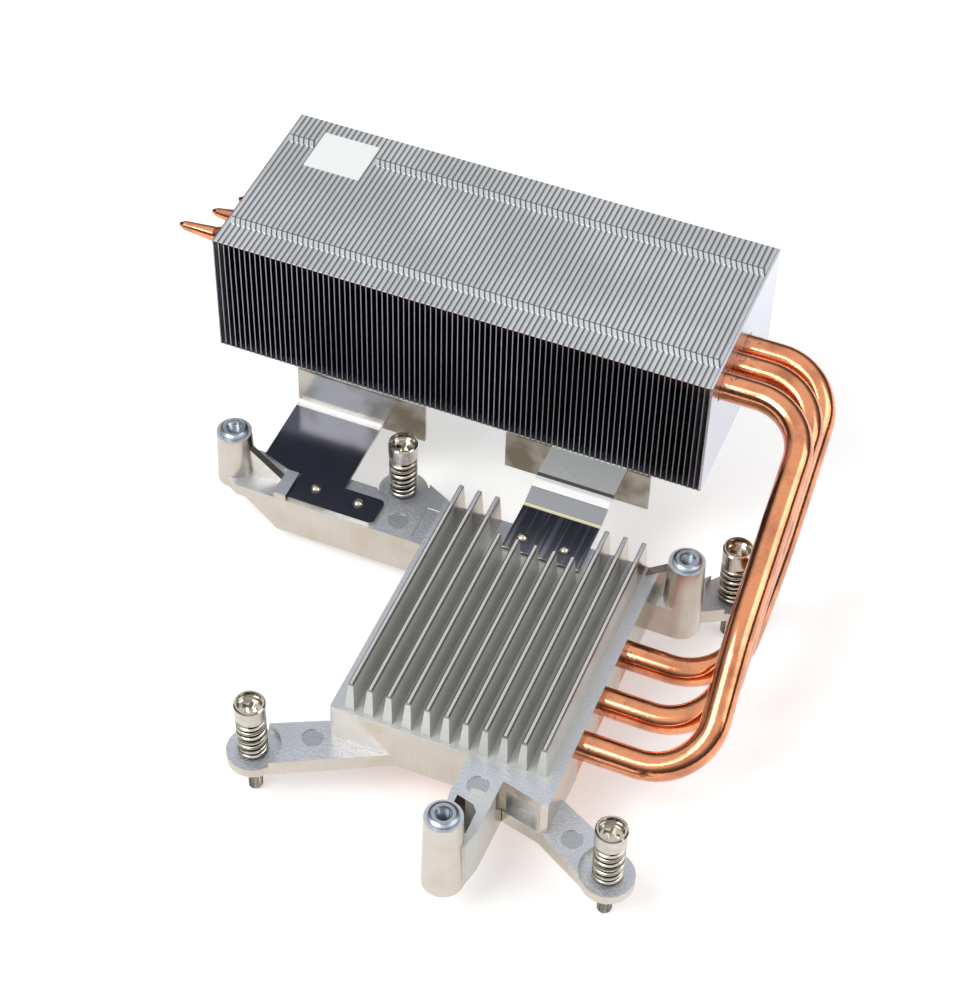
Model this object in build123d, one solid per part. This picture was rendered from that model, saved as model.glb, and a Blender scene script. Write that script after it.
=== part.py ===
# CPU heatsink with remote fin block: die-cast base, copper cold plate, three heat pipes,
# a row of folded cooling fins on two brackets, and four spring-loaded captive screws.
# Frame: +Z up, origin at the middle of the contact face, X along the fin block, Y towards it.
from build123d import *
import math
import os

# Heights above the contact face
arm_bottom = 1.2
arm_top = 5.0
seat_depth = 1.5
ledge_top = 14.4
base_fin_top = 21.7

# Base casting outline
block_left = -24.2
block_right = 23.8
block_front = -29.3
block_back = 28.8
corner_start = 13.8
corner_bend = -32.6
corner_front = -34.8
corner_width = 1.4
corner_round = 0.3
wall_draft = 0.6

# Cooling fins cast on the base
base_fin_count = 11
base_fin_pitch = 4.03
base_fin_first = -20.3
base_fin_root = 2.1
base_fin_tip = 1.0
base_fin_round = 0.35
base_fin_slope = 1.2
base_fin_end_gap = 0.6
short_fin_first = 3
short_fin_last = 7
short_fin_back = 19.2

# Captive screws
screw_spacing = 75.0
screw_shank = 3.6
screw_thread = 3.0
screw_bore = 3.8
screw_head = 6.4
screw_head_height = 4.2
screw_tip = -8.8
thread_length = 5.6
cup_depth = 1.8
cup_wall = 0.7
drive_width = 1.0
drive_length = 3.2
drive_depth = 1.2
spring_height = 10.9
spring_outside = 6.2
spring_wire = 0.75
ring_outside = 5.6
ring_thickness = 0.8
ring_gap = 0.05
groove_diameter = 2.6
lobe_radius = 5.4
mark_diameter = 4.4
mark_depth = 0.25

# Threaded posts and their steel inserts
post_top_radius = 3.8
post_foot_radius = 4.3
insert_flange = 6.0
insert_body = 4.4
insert_bore = 2.5
insert_length = 8.0
insert_sunk = 1.0
insert_proud = 1.0
post_insert_fit = 0.02
left_post = dict(place=(-73.3, 28.9), foot=2.0, top=15.6)
front_post = dict(place=(8.3, -49.2), foot=0.8, top=21.7)
right_post = dict(place=(29.6, 27.4), foot=1.6, top=21.4)
left_gusset = dict(reach=11.7, thickness=1.6, direction=0, foot_top=5.0)
right_gusset = dict(reach=8.2, thickness=2.4, direction=180, foot_top=14.4)
gusset_drop = 0.4
right_post_arm_top = 10.0

# Arms to the screws: corners on the block, then corners measured from the screw
front_left_arm = dict(on_block=[(-10.8, -29.0)], by_screw=[(3.8, -3.6), (0.5, 1.5), (0.9, 5.9)],
                      back_on_block=[(-23.8, -25.3)])
front_right_arm = dict(on_block=[(13.2, -31.5)],
                       by_screw=[(-23.6, 4.6), (-15.3, 2.7), (-4.0, -3.6), (-0.5, 0.5), (-4.3, 6.9)],
                       back_on_block=[(23.6, -25.8)])
back_right_arm = dict(on_block=[(23.0, 24.0)], by_screw=[(-3.9, -8.0), (1.2, -5.1), (-3.9, 3.7)],
                      back_on_block=[(23.0, 28.6)])
back_left_arm = dict(on_block=[(-23.2, 28.0)], by_screw=[(-4.4, -4.0), (-4.4, 0.0), (1.9, 4.0), (10.5, -0.2)],
                     back_on_block=[(-23.2, 34.0)])
arm_rivet_depth = 2.9

# Arm of the front post, measured from the post's middle
front_arm_left = 3.0
front_arm_left_end = 1.5
front_arm_right = 5.3
front_arm_right_end = 4.2
front_arm_turn = 4.2
front_arm_end = 0.8

# Pocket in that arm
pocket_left = 1.4
pocket_right = 2.2
pocket_corner = 0.9
pocket_widening = 1.2
pocket_front = -46.5
pocket_back = -38.9
pocket_slant = 2.3

# Left arm, which carries the first bracket
left_arm_front = 23.3
left_arm_back = 34.5
left_arm_wall = 2.6
left_arm_depth = 10.2
left_arm_plate = 3.0
left_arm_ramp_start = -68.7
left_arm_corner = -70.9
left_arm_ramp_end = -61.6
rib_left = -61.8
rib_right = -59.0
rib_height = 1.6
rib_back = 30.5

# Round marks left by the ejector pins: x, y
ejector_marks_on_arms = [(-27.2, -31.5), (28.8, -33.8), (-34.4, 27.6)]
ejector_mark_on_ledge = (9.7, -35.4)

# Recess under the ledge at the front right corner
recess_left = 14.6
recess_right = 21.6
recess_front = -36.5
recess_back = -31.0
recess_roof = 2.0

# Shallow bare field on the left arm beside the block
field_left = -30.2
field_right = -25.4
field_front = 24.6
field_back = 33.6

# Copper cold plate with a saddle rail under each pipe
plate_thickness = 2.0
plate_clearance = 0.05
plate_left = -22.0
plate_front = -25.0
plate_back = 25.0
rail_left = -18.0
rail_clearance = 0.05

# Heat pipes
pipe_diameter = 6.0
pipe_height = 9.0
pipe_bend = 12.0
pipe_sway = 40.0
pipe_start = -16.5
pipe_neck_length = 3.6
pipe_neck_diameter = 3.4
pipe_tip_diameter = 2.0

# Fin block
fin_count = 92
fin_pitch = 1.225
fin_sheet = 0.2
fin_contact_gap = 0.02
fin_left = -87.1
fin_front = 50.5
fin_depth = 45.0
fin_bottom = 16.9
fin_height = 30.8
fin_hole_sides = 6
end_plate_sheet = 0.5
pipe_hole_clearance = 0.05

# Brackets, folded from steel sheet
sheet = 0.8
sheet_bend = 1.0
web_plane = 51.0
flange_depth = 30.0
left_bracket_x = (-68.6, -38.2)
left_tongue_right = -48.5
left_tongue_corner = 33.5
left_tongue_notch = 31.0
left_tongue_round = 1.2
tongue_inset = 0.6
rib_gap = 0.2
right_bracket_x = (-19.3, 13.7)
right_tongue_x = (-8.5, 8.6)
right_tongue_front = 21.8
right_bend_low = 34.5
right_bend_high = 40.5
strip_gap = 0.1
left_rivet_places = [(-54.1, 28.3), (-44.0, 28.0)]
right_rivet_places = [(-5.3, 25.2), (4.0, 25.4)]
rivet_head = 2.6
rivet_shank = 1.8
rivet_head_height = 1.0
rivet_clearance = 0.03

# Blank label on the fin block
label_width = 13.2
label_depth = 11.8
label_thickness = 0.12
label_inset_left = 7.5
label_inset_back = 3.7

# Places that follow from the sizes above
casting_bottom = plate_thickness
half_spacing = screw_spacing / 2
seat_top = arm_top - seat_depth
head_bottom = seat_top + spring_height
head_top = head_bottom + screw_head_height
fin_back = fin_front + fin_depth
fin_top = fin_bottom + fin_height
end_plate_left = fin_left + (fin_count - 1) * fin_pitch
pipe_radius = pipe_diameter / 2
plate_right = block_right - wall_draft

# Each pipe: row in the base, row and height in the fin block, how far its lower bend passes the screws
# and its upper bend the fins, middle of the riser, left tip
pipe_routes = {
    "front": dict(row=-15.0, top_row=58.9, top_height=40.9, past_screw=10.2, past_fins=19.6,
                  sway_y=11.0, sway_z=24.3, tip_x=-99.4),
    "middle": dict(row=-3.2, top_row=68.0, top_height=38.3, past_screw=8.6, past_fins=19.4,
                   sway_y=24.8, sway_z=20.0, tip_x=-96.2),
    "back": dict(row=9.6, top_row=75.2, top_height=36.9, past_screw=7.7, past_fins=20.1,
                 sway_y=42.0, sway_z=14.4, tip_x=-93.4),
}
posts = {"left": left_post, "front": front_post, "right": right_post}
screw_places = {
    "front_left": (-half_spacing, -half_spacing),
    "front_right": (half_spacing, -half_spacing),
    "back_left": (-half_spacing, half_spacing),
    "back_right": (half_spacing, half_spacing),
}


def prism(points, low, high, taper=0.0):
    """Solid between two heights over an outline seen from above."""
    outline = make_face(Polyline(*points, close=True))
    return Pos(0, 0, low) * extrude(outline, high - low, taper=taper)


def rod(radius, low, high, x=0.0, y=0.0):
    """Upright cylinder between two heights."""
    return Pos(x, y, low) * Cylinder(radius, high - low, align=(Align.CENTER, Align.CENTER, Align.MIN))


def tapered_rod(foot_radius, top_radius, low, high, x, y):
    """Upright cone frustum between two heights."""
    return Pos(x, y, low) * Cone(foot_radius, top_radius, high - low,
                                 align=(Align.CENTER, Align.CENTER, Align.MIN))


def box_between(x0, x1, y0, y1, z0, z1):
    """Box given by its two corners."""
    corner = (Align.MIN, Align.MIN, Align.MIN)
    return Pos(x0, y0, z0) * Box(x1 - x0, y1 - y0, z1 - z0, align=corner)


def along_x(radius, x0, x1, y, z):
    """Cylinder lying along X."""
    turned = Pos(x0, y, z) * Rot(0, 90, 0)
    return turned * Cylinder(radius, x1 - x0, align=(Align.CENTER, Align.CENTER, Align.MIN))


def casting_block():
    """Rectangular body with the front right corner drawn forward."""
    outline = [(block_left, block_front), (corner_start, block_front), (corner_start, corner_bend),
               (block_right - corner_width, corner_front), (block_right, corner_front + corner_round),
               (block_right, block_back), (block_left, block_back)]
    return prism(outline, casting_bottom, ledge_top)


def base_fin(index):
    """One cast fin with drafted sides, a rounded tip and a sloping front, shorter beside the second bracket."""
    x = base_fin_first + index * base_fin_pitch
    is_short = short_fin_first <= index <= short_fin_last
    front = block_front + base_fin_end_gap
    back = short_fin_back if is_short else block_back - base_fin_end_gap / 2
    root = base_fin_root / 2
    tip = base_fin_tip / 2
    outline = make_face(Polyline((x - root, ledge_top), (x + root, ledge_top),
                                 (x + tip, base_fin_top), (x - tip, base_fin_top), close=True))
    rounded = fillet(outline.vertices().group_by(Axis.Y)[-1], base_fin_round)
    fin = Pos(0, back, 0) * extrude(Plane.XZ * rounded, back - front)
    wedge = Plane.YZ * make_face(Polyline((front, ledge_top), (front, base_fin_top + 1),
                                          (front + base_fin_slope, base_fin_top + 1), close=True))
    return fin - Pos(x - base_fin_root, 0, 0) * extrude(wedge, 2 * base_fin_root)


def screw_arm(arm, place):
    """Flat arm from the block to one screw."""
    by_screw = [(place[0] + x, place[1] + y) for x, y in arm["by_screw"]]
    return prism(arm["on_block"] + by_screw + arm["back_on_block"], arm_bottom, arm_top)


def front_post_arm():
    """Deep arm to the front post, with a pocket beside the post."""
    x, y = front_post["place"]
    root = block_front + wall_draft
    outline = [(x - front_arm_left, root), (x - front_arm_left, pocket_back), (x - front_arm_left_end, y),
               (x + front_arm_right_end, y - front_arm_end), (x + front_arm_right, y + front_arm_turn),
               (corner_start, corner_bend), (corner_start, root)]
    right = x + pocket_right
    slanted = pocket_back - pocket_slant
    pocket = [(x - pocket_left, pocket_back), (right, pocket_back - pocket_corner),
              (right + pocket_widening, slanted), (right + pocket_widening, pocket_front),
              (x - pocket_left, pocket_front)]
    return prism(outline, arm_bottom, ledge_top) - prism(pocket, arm_top, ledge_top + 1)


def right_post_arm():
    """Wall that joins the right post to the block."""
    x, y = right_post["place"]
    front = y - post_foot_radius + wall_draft / 2
    inside = block_right - wall_draft
    outline = [(inside, front), (x, front), (x, y), (inside, block_back - wall_draft)]
    return prism(outline, arm_bottom, right_post_arm_top)


def left_arm():
    """Channel-shaped arm with a deep front wall, under the first bracket."""
    end, middle = left_post["place"]
    inside = block_left + 1
    outline = [(inside, left_arm_front), (left_arm_corner, left_arm_front),
               (end - wall_draft, middle - post_foot_radius + wall_draft / 2), (end, left_arm_back),
               (inside, left_arm_back)]
    plate_bottom = arm_top - left_arm_plate
    plate = prism(outline, plate_bottom, arm_top)
    deep = arm_top - left_arm_depth
    side = Plane.XZ * make_face(Polyline((left_arm_ramp_start, arm_top), (inside, arm_top), (inside, deep),
                                         (left_arm_ramp_end, deep), (left_arm_ramp_start, plate_bottom),
                                         close=True))
    wall = Pos(0, left_arm_front + left_arm_wall, 0) * extrude(side, left_arm_wall)
    stop_rib = box_between(rib_left, rib_right, left_arm_front, rib_back, arm_top, arm_top + rib_height)
    return plate + wall + stop_rib


def gusset(post, reach, thickness, direction, foot_top):
    """Sloping web from near the top of a post down to its foot."""
    foot_bottom = post["foot"]
    top = post["top"] - gusset_drop
    side = Plane.XZ * make_face(Polyline((0, foot_bottom), (reach, foot_bottom), (reach, foot_top),
                                         (0, top), close=True))
    web = Pos(0, thickness / 2, 0) * extrude(side, thickness)
    return Pos(*post["place"], 0) * Rot(0, 0, direction) * web


def post_body(post):
    return tapered_rod(post_foot_radius, post_top_radius, post["foot"], post["top"], *post["place"])


def insert_hole(post):
    """Cored hole right through a post, with a seat for the insert's flange."""
    top = post["top"]
    wide = rod(insert_flange / 2 + post_insert_fit, top - insert_sunk, top + 1, *post["place"])
    narrow = rod(insert_body / 2 + post_insert_fit, arm_bottom - 1, top + 1, *post["place"])
    return wide + narrow


def screw_lobe(place):
    return rod(lobe_radius, arm_bottom, seat_top, *place)


def screw_clearance(place):
    seat = rod(lobe_radius + 0.3, seat_top, arm_top + rib_height + 1, *place)
    bore = rod(screw_bore / 2, arm_bottom - 1, seat_top + 1, *place)
    return seat + bore


def ejector_mark(place, top):
    return rod(mark_diameter / 2, top - mark_depth, top + 1, *place)


def rivet_hole(place, low, high):
    return rod(rivet_shank / 2 + rivet_clearance, low - 1, high + 1, *place)


def rail_channel(route):
    """Groove from below for one pipe and its rail."""
    half = pipe_radius + rail_clearance
    row = route["row"]
    trench = box_between(rail_left - rail_clearance, block_right + 1, row - half, row + half,
                         casting_bottom - 1, pipe_height)
    return trench + along_x(half, rail_left - rail_clearance, block_right + 1, row, pipe_height)


def front_recess():
    """Pocket under the overhanging ledge at the front right corner."""
    return box_between(recess_left, recess_right, recess_front, recess_back, arm_top, ledge_top - recess_roof)


def bare_field():
    return box_between(field_left, field_right, field_front, field_back, arm_top - mark_depth, arm_top + 1)


def plate_pocket():
    """Room for the cold plate where arms and gussets reach under the block."""
    gap = plate_clearance
    return box_between(plate_left - gap, plate_right + gap, plate_front - gap, plate_back + gap,
                       casting_bottom - plate_thickness, casting_bottom)


def base_casting():
    body = casting_block()
    body += screw_arm(front_left_arm, screw_places["front_left"])
    body += screw_arm(front_right_arm, screw_places["front_right"])
    body += screw_arm(back_right_arm, screw_places["back_right"])
    body += screw_arm(back_left_arm, screw_places["back_left"])
    for arm in (front_post_arm(), right_post_arm(), left_arm()):
        body += arm
    for index in range(base_fin_count):
        body += base_fin(index)
    for place in screw_places.values():
        body += screw_lobe(place)
    body += gusset(left_post, **left_gusset)
    body += gusset(right_post, **right_gusset)
    for post in posts.values():
        body += post_body(post)
    for post in posts.values():
        body -= insert_hole(post)
    for place in screw_places.values():
        body -= screw_clearance(place)
    for route in pipe_routes.values():
        body -= rail_channel(route)
    body -= plate_pocket()
    body -= front_recess()
    body -= bare_field()
    for place in ejector_marks_on_arms:
        body -= ejector_mark(place, arm_top)
    body -= ejector_mark(ejector_mark_on_ledge, ledge_top)
    for place in left_rivet_places:
        body -= rivet_hole(place, arm_top - left_arm_plate, arm_top)
    for place in right_rivet_places:
        body -= rivet_hole(place, ledge_top - arm_rivet_depth + 1, ledge_top)
    return body


def cold_plate():
    """Copper plate whose three rails cradle the pipes."""
    body = box_between(plate_left, plate_right, plate_front, plate_back, 0, plate_thickness)
    half = pipe_radius
    for route in pipe_routes.values():
        row = route["row"]
        rail = box_between(rail_left, plate_right, row - half, row + half, plate_thickness, pipe_height)
        body += rail - along_x(half + rail_clearance / 2, rail_left - 1, plate_right + 1, row, pipe_height)
    return body


def heat_pipe(route):
    """Sealed copper pipe: through the base, up the riser and along the fin block to a tapered tip."""
    row, top_row, top = route["row"], route["top_row"], route["top_height"]
    base_x = half_spacing + route["past_screw"]
    top_x = end_plate_left + route["past_fins"]
    points = [(pipe_start, row, pipe_height), (base_x, row, pipe_height),
              ((base_x + top_x) / 2, route["sway_y"], route["sway_z"]),
              (top_x, top_row, top), (fin_left - 0.4, top_row, top)]
    path = FilletPolyline(*points, radius=[pipe_bend, pipe_sway, pipe_bend])
    start = Plane(origin=points[0], z_dir=(1, 0, 0))
    tube = sweep(start * Circle(pipe_radius), path=path)
    end = points[-1][0]
    neck = end - pipe_neck_length
    round_end = pipe_tip_diameter / 2
    tip_profile = Polyline((end, 0), (end, pipe_radius), (neck, pipe_neck_diameter / 2),
                           (route["tip_x"] + round_end, round_end), (route["tip_x"], round_end / 2),
                           (route["tip_x"], 0), close=True)
    tip = Pos(0, top_row, top) * revolve(make_face(tip_profile), Axis.X)
    return tube + tip


def fin_hole_cutter(route, length):
    """Many-sided prism along X that just clears one pipe."""
    across = pipe_radius + pipe_hole_clearance
    corner = across / math.cos(math.pi / fin_hole_sides)
    turned = Plane(origin=(0, route["top_row"], route["top_height"]), z_dir=(1, 0, 0))
    return extrude(turned * RegularPolygon(corner, fin_hole_sides), length)


def single_fin():
    """Folded sheet fin: an upright wall with a flange at its top and bottom."""
    reach = fin_pitch - fin_contact_gap
    section = Plane.XZ * make_face(Polyline(
        (0, fin_bottom), (reach, fin_bottom), (reach, fin_bottom + fin_sheet),
        (fin_sheet, fin_bottom + fin_sheet), (fin_sheet, fin_top - fin_sheet), (reach, fin_top - fin_sheet),
        (reach, fin_top), (0, fin_top), close=True))
    fin = Pos(0, fin_back, 0) * extrude(section, fin_depth)
    for route in pipe_routes.values():
        fin -= fin_hole_cutter(route, fin_sheet)
    return fin


def cooling_fins():
    fin = single_fin()
    row = [Pos(fin_left + index * fin_pitch, 0, 0) * fin for index in range(fin_count - 1)]
    return Compound(children=row)


def end_plate():
    """Flat sheet that closes the right end of the fin block."""
    left = end_plate_left
    plate = box_between(left, left + end_plate_sheet, fin_front, fin_back, fin_bottom, fin_top)
    for route in pipe_routes.values():
        plate -= Pos(left, 0, 0) * fin_hole_cutter(route, end_plate_sheet)
    return plate


def bent_strip(profile, x0, x1):
    """Sheet of constant thickness whose fold profile lies in the YZ plane."""
    line = FilletPolyline(*profile, radius=sheet_bend)
    section = Plane.YZ * make_face(offset(line, sheet / 2, side=Side.BOTH))
    return Pos(x0, 0, 0) * extrude(section, x1 - x0)


def left_bracket():
    """Tongue on the left arm, upright web and a flange under the fin block."""
    low = arm_top + sheet / 2
    high = fin_bottom - sheet / 2
    web_y = web_plane + sheet / 2
    left, right = left_bracket_x
    front = left_arm_front + tongue_inset
    beside_rib = rib_right + rib_gap
    behind_rib = rib_back + tongue_inset
    tongue_outline = [(left, web_plane), (left, left_tongue_corner), (rib_left, behind_rib),
                      (beside_rib, behind_rib), (beside_rib, front), (right - tongue_inset, front),
                      (right - tongue_inset, left_tongue_notch), (left_tongue_right, left_tongue_notch),
                      (left_tongue_right, web_plane)]
    tongue = prism(tongue_outline, arm_top, arm_top + sheet)
    outer_corners = tongue.edges().filter_by(Axis.Z).sort_by(Axis.X)[-2:]
    tongue = fillet(outer_corners, left_tongue_round)
    foot = web_y - 2 * sheet_bend
    web = bent_strip([(foot, low), (web_y, low), (web_y, high), (web_y + flange_depth, high)], left, right)
    trim = box_between(left_tongue_right, right + 1, foot - 1, web_plane, arm_top - 1, arm_top + sheet + 1)
    body = tongue + (web - trim)
    for place in left_rivet_places:
        body -= rivet_hole(place, arm_top, arm_top + sheet)
    return body


def right_bracket():
    """Tongue on the ledge that rises to a flange under the fin block."""
    low = ledge_top + sheet / 2
    high = fin_bottom - sheet / 2
    profile = [(right_tongue_front, low), (right_bend_low, low), (right_bend_high, high),
               (web_plane + flange_depth, high)]
    body = bent_strip(profile, *right_tongue_x)
    for place in right_rivet_places:
        body -= rivet_hole(place, ledge_top, ledge_top + sheet)
    return body


def right_support():
    """Angle under the fin block with an upright web, slotted for the right bracket."""
    high = fin_bottom - sheet / 2
    web_y = web_plane + sheet / 2
    back = web_plane + flange_depth
    angle = bent_strip([(web_y, arm_top + sheet), (web_y, high), (back, high)], *right_bracket_x)
    left, right = right_tongue_x
    slot = box_between(left - strip_gap, right + strip_gap, web_plane - 1, back + 1,
                       fin_bottom - sheet - strip_gap, fin_bottom + 1)
    return angle - slot


def rivet(x, y, seat, length):
    """Solid rivet with a domed head on the sheet."""
    shank = rod(rivet_shank / 2, seat - length, seat, x, y)
    sphere_radius = (rivet_head_height ** 2 + (rivet_head / 2) ** 2) / (2 * rivet_head_height)
    dome = Pos(x, y, seat + rivet_head_height - sphere_radius) * Sphere(sphere_radius)
    cap = dome & box_between(x - rivet_head, x + rivet_head, y - rivet_head, y + rivet_head,
                             seat, seat + rivet_head)
    return shank + cap


def rivets(places, seat, length):
    return Compound(children=[rivet(x, y, seat, length) for x, y in places])


def threaded_insert(post):
    """Flanged steel insert with a plain bore for an M3 thread."""
    place, top = post["place"], post["top"]
    flange = rod(insert_flange / 2, top - insert_sunk, top + insert_proud, *place)
    body = rod(insert_body / 2, top - insert_length, top, *place)
    bore = rod(insert_bore / 2, top - insert_length - 1, top + insert_proud + 1, *place)
    return flange + body - bore


def captive_screw(place):
    """Shouldered screw with a cup-shaped head, a cross recess and a groove for its ring."""
    x, y = place
    thread_top = screw_tip + thread_length
    head = rod(screw_head / 2, head_bottom, head_top, x, y)
    cup = rod(screw_head / 2 - cup_wall, head_top - cup_depth, head_top + 1, x, y)
    shank = rod(screw_shank / 2, thread_top, head_bottom + 0.1, x, y)
    thread = rod(screw_thread / 2, screw_tip + 0.5, thread_top, x, y)
    point = tapered_rod(screw_thread / 2 - 0.5, screw_thread / 2, screw_tip, screw_tip + 0.5, x, y)
    groove_low = arm_bottom - 2 * ring_gap - ring_thickness
    groove = (rod(screw_shank / 2 + 1, groove_low, arm_bottom, x, y)
              - rod(groove_diameter / 2, groove_low - 1, arm_bottom + 1, x, y))
    floor = head_top - cup_depth
    body = head + shank + thread + point - cup - groove
    for width, length in ((drive_width, drive_length), (drive_length, drive_width)):
        body -= Pos(x, y, floor - drive_depth) * Box(width, length, drive_depth + 0.5,
                                                     align=(Align.CENTER, Align.CENTER, Align.MIN))
    return body


def spring_sleeve(place):
    """Envelope of one coil spring between the arm and the screw head."""
    x, y = place
    outer = rod(spring_outside / 2, seat_top, head_bottom, x, y)
    return outer - rod(spring_outside / 2 - spring_wire, seat_top - 1, head_bottom + 1, x, y)


def retaining_ring(place):
    """Open spring clip that holds the screw in its arm."""
    x, y = place
    high = arm_bottom - ring_gap
    low = high - ring_thickness
    disc = rod(ring_outside / 2, low, high, x, y)
    hole = rod(groove_diameter / 2 + ring_gap, low - 1, high + 1, x, y)
    mouth = box_between(x, x + ring_outside, y - 0.9, y + 0.9, low - 1, high + 1)
    return disc - hole - mouth


def label():
    left = fin_left + label_inset_left
    back = fin_back - label_inset_back
    return box_between(left, left + label_width, back - label_depth, back, fin_top, fin_top + label_thickness)


def parts():
    """Every sub-part by the name of its node."""
    result = {
        "base_casting": base_casting(),
        "cold_plate": cold_plate(),
        "cooling_fins": cooling_fins(),
        "end_plate": end_plate(),
        "left_bracket": left_bracket(),
        "right_bracket": right_bracket(),
        "right_support": right_support(),
        "left_bracket_rivets": rivets(left_rivet_places, arm_top + sheet, sheet + left_arm_plate),
        "right_bracket_rivets": rivets(right_rivet_places, ledge_top + sheet, sheet + arm_rivet_depth - 1),
        "label": label(),
    }
    for name, route in pipe_routes.items():
        result["heat_pipe_" + name] = heat_pipe(route)
    for name, post in posts.items():
        result["threaded_insert_" + name] = threaded_insert(post)
    for name, place in screw_places.items():
        result["captive_screw_" + name] = captive_screw(place)
        result["spring_" + name] = spring_sleeve(place)
        result["retaining_ring_" + name] = retaining_ring(place)
    return result


os.makedirs("parts", exist_ok=True)
for node, shape in parts().items():
    export_step(shape, "parts/" + node + ".step")
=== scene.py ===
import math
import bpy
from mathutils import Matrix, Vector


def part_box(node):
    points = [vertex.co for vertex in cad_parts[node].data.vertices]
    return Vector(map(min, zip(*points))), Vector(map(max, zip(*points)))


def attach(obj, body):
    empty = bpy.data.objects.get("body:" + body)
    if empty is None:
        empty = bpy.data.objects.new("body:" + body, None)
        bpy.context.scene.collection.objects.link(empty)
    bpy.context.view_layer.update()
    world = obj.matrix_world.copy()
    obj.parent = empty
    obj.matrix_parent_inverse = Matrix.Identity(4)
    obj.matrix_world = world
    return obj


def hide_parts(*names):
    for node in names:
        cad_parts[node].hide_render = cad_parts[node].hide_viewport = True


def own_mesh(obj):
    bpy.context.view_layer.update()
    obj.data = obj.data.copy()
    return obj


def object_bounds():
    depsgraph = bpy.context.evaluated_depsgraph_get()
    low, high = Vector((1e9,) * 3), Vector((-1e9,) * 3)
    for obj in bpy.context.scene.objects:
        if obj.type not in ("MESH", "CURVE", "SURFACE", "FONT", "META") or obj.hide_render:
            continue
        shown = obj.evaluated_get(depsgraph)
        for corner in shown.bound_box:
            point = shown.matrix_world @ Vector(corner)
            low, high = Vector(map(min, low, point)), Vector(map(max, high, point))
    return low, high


bl_info = {
    "name": "CPU heatsink",
    "version": (1, 0, 0),
    "blender": (4, 5, 0),
    "location": "View3D > Sidebar > Heatsink",
    "description": "Dresses the packed heatsink with finishes, springs, screws and fin tabs",
    "category": "Object",
}

import bmesh
import bpy
from bpy.props import FloatProperty, FloatVectorProperty, PointerProperty
from mathutils import Matrix, Vector

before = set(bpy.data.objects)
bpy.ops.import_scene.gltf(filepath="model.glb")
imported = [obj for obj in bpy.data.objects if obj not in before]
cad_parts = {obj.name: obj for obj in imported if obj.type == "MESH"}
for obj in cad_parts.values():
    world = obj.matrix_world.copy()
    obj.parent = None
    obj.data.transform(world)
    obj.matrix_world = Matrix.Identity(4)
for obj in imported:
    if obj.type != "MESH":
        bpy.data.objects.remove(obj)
cad_low, cad_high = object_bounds()
root_body = "heatsink"
screw_corners = ("front_left", "front_right", "back_left", "back_right")
insert_posts = ("left", "front", "right")
pipe_rows = ("front", "middle", "back")
mm = 0.001

# Places on the casting that its finish follows
cast_fins_low = Vector((-22.6, -30.2, 13.7)) * mm
cast_fins_high = Vector((22.6, 23.4, 21.5)) * mm
fin_tips_low = Vector((-22.6, -32.6, 21.0)) * mm
fin_tips_high = Vector((22.6, 23.4, 22.4)) * mm
post_pocket_low = Vector((8.6, -49.0, 1.6)) * mm
post_pocket_high = Vector((15.0, -36.0, 14.6)) * mm
ejector_marks = ((-27.2, -31.5), (28.8, -33.8), (-34.4, 27.6), (9.7, -35.4))
mark_radius = 2.2 * mm

# Bands across the brackets, where their bends catch the light: painted highlights, painted shade and a
# painted reflection
left_crease_low = Vector((-69.0, 49.5, 4.0)) * mm
left_crease_high = Vector((-48.0, 51.3, 6.6)) * mm
right_tongue_low = Vector((-9.0, 20.0, 14.0)) * mm
right_tongue_high = Vector((9.1, 34.2, 16.0)) * mm
bracket_x = (-9.0, 9.1)
crease_band = (33.9, 34.7)
slope_band = (34.7, 38.6)
bend_band = (38.6, 41.4)
shadow_band = (41.4, 42.4)
plate_level = 16.5

# Glow of the white floor, which grows with the distance from the object
near_glow = 0.35
far_glow = 0.62
near_reach = 0.25
far_reach = 0.80

# Edges and smoothing
casting_edge = 0.3 * mm
crease_angle = math.radians(40)
smooth_angle = math.radians(35)

# Colours that belong to one finish
wall_stain = (0.50, 0.41, 0.31)
top_sparkle = (0.70, 0.73, 0.78)
gap_light = (0.76, 0.77, 0.75)
gap_dull = (0.62, 0.61, 0.57)
gap_grain = (0.30, 0.31, 0.31)
tip_side_shade = (0.26, 0.26, 0.25)
tip_top = (0.60, 0.60, 0.58)
fin_sheen = (0.80, 0.80, 0.90)
fin_inside_shade = (0.10, 0.105, 0.15)
fin_edge_dull = (0.30, 0.30, 0.38)
fin_edge_light = (0.52, 0.52, 0.60)
rim_painted_highlight = (0.95, 0.95, 0.95)
rim_dark = (0.10, 0.11, 0.12)
seam_dark = (0.13, 0.145, 0.155)
tab_shadow = (0.12, 0.135, 0.15)
tab_shadow_light = (0.24, 0.26, 0.28)
end_light = (0.76, 0.77, 0.86)
end_dull = (0.66, 0.67, 0.78)
solder_speck = (0.22, 0.15, 0.13)
bracket_dark_patch = (0.26, 0.23, 0.17)
bracket_painted_reflection = (0.095, 0.10, 0.13)
bracket_painted_sheen = (0.15, 0.155, 0.18)
bracket_fin_reflection = (0.32, 0.32, 0.35)
plate_reflection_dull = (0.52, 0.55, 0.53)
plate_reflection_light = (0.72, 0.74, 0.72)
crease_glow = (0.86, 0.80, 0.56)
slope_reflection = (0.33, 0.34, 0.36)
bend_highlight = (0.97, 0.97, 0.97)
bend_shadow = (0.10, 0.10, 0.11)
white = (1.0, 1.0, 1.0)


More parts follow.
